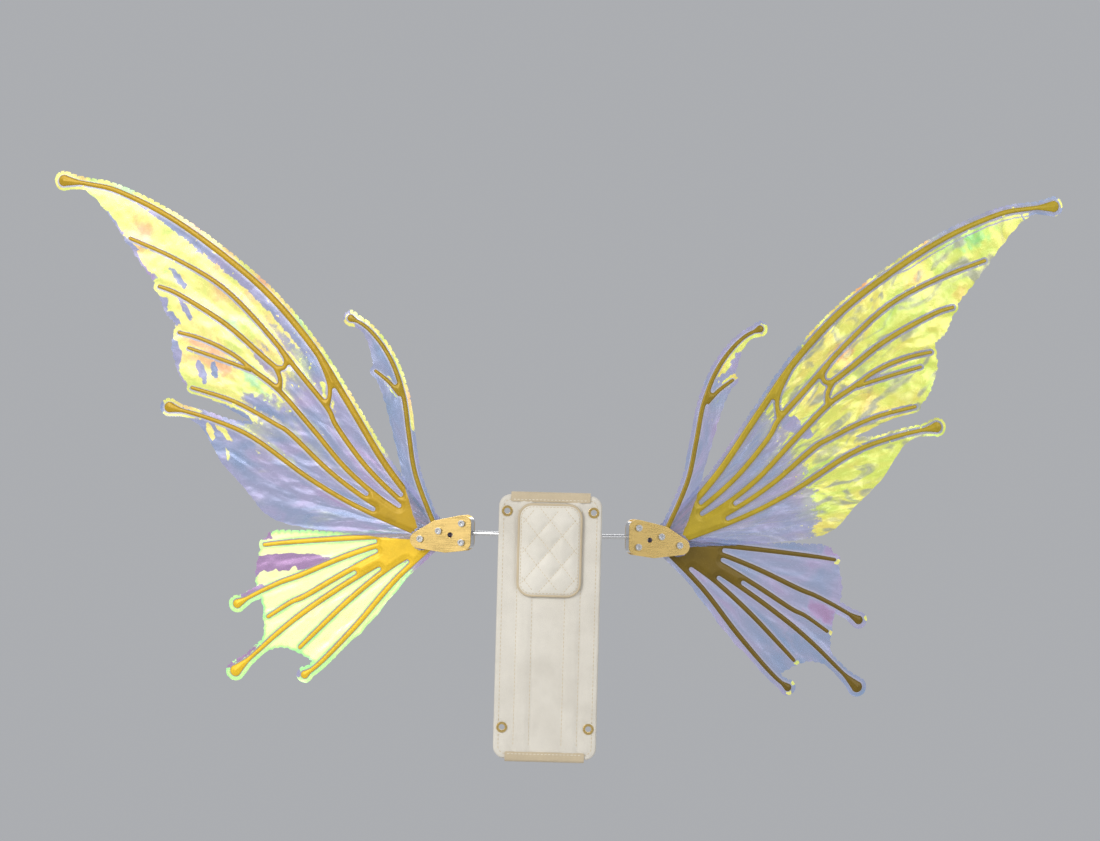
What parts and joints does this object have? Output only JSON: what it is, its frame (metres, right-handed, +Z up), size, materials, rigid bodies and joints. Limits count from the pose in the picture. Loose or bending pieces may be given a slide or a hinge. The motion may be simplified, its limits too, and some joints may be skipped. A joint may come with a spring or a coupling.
{
  "type": "fairy wings",
  "caption": "Pair of veined iridescent film fairy wings on a bodice insert; each wing folds back, lifts out of its sockets and is locked by a thumbscrew.",
  "frame": {"origin": "middle of the flat face of the back pad, where it rests on the wearer's back", "axes": "+X towards the wearer's left, +Y away from the wearer's back (the wearer faces -Y), +Z up"},
  "size_m": [0.8712, 0.1293, 0.4893],
  "materials": {
    "film": "iridescent crinkled film, yellow to lavender",
    "gilt_bead": "glossy gold paint on a raised bead",
    "gilt_wire": "gold-painted wire",
    "coutil": "ivory herringbone coutil",
    "binding": "champagne bias binding",
    "spring_steel": "flat spring steel",
    "bone_tip": "white dipped tip",
    "brass": "polished, lightly worn",
    "aluminium": "satin, brushed",
    "steel": "bright drawn rod",
    "nylon": "natural nylon",
    "rubber": "matte black"
  },
  "bodies": {
    "spine": {"back_pad": "coutil", "insert_sleeve": "coutil", "sleeve_binding": "binding", "left_bone": "spring_steel", "right_bone": "spring_steel", "bone_tips": "bone_tip", "lacing_eyelets": "brass", "spine_plate": "aluminium", "plate_rivets": "brass", "left_upper_socket": "aluminium", "left_lower_socket": "aluminium", "right_upper_socket": "aluminium", "right_lower_socket": "aluminium", "socket_screws": "steel", "swivel_washers": "nylon", "socket_caps": "rubber"},
    "left_collar": {"left_collar": "aluminium"},
    "left_thumbscrew": {"left_thumbscrew": "brass"},
    "left_wing": {"left_stem": "steel", "left_root_block": "aluminium", "left_front_plate": "brass", "left_back_plate": "brass", "left_root_screws": "steel", "left_root_nuts": "steel", "left_upper_film": "film", "left_upper_veins": "gilt_bead", "left_upper_wires": "gilt_wire", "left_lower_film": "film", "left_lower_veins": "gilt_bead", "left_lower_wires": "gilt_wire", "left_winglet_film": "film", "left_winglet_veins": "gilt_bead", "left_winglet_wires": "gilt_wire"},
    "right_collar": {"right_collar": "aluminium"},
    "right_thumbscrew": {"right_thumbscrew": "brass"},
    "right_wing": {"right_stem": "steel", "right_root_block": "aluminium", "right_front_plate": "brass", "right_back_plate": "brass", "right_root_screws": "steel", "right_root_nuts": "steel", "right_upper_film": "film", "right_upper_veins": "gilt_bead", "right_upper_wires": "gilt_wire", "right_lower_film": "film", "right_lower_veins": "gilt_bead", "right_lower_wires": "gilt_wire", "right_winglet_film": "film", "right_winglet_veins": "gilt_bead", "right_winglet_wires": "gilt_wire"}
  },
  "joints": [
    {"name": "left_fold", "type": "hinge", "parent": "spine", "child": "left_collar", "pos_m": [0.028, 0.02, -0.0332], "axis": [0, 0, 1], "range_deg": [-15, 60]},
    {"name": "left_lift", "type": "slide", "parent": "left_collar", "child": "left_wing", "axis": [0, 0, 1], "range_m": [0, 0.08]},
    {"name": "left_clamp", "type": "hinge", "parent": "left_collar", "child": "left_thumbscrew", "pos_m": [0.028, 0.02, -0.0332], "axis": [0, 1, 0], "range_deg": [0, 180]},
    {"name": "right_fold", "type": "hinge", "parent": "spine", "child": "right_collar", "pos_m": [-0.028, 0.02, -0.0332], "axis": [0, 0, -1], "range_deg": [-15, 60]},
    {"name": "right_lift", "type": "slide", "parent": "right_collar", "child": "right_wing", "axis": [0, 0, 1], "range_m": [0, 0.08]},
    {"name": "right_clamp", "type": "hinge", "parent": "right_collar", "child": "right_thumbscrew", "pos_m": [-0.028, 0.02, -0.0332], "axis": [0, 1, 0], "range_deg": [0, 180]}
  ]
}
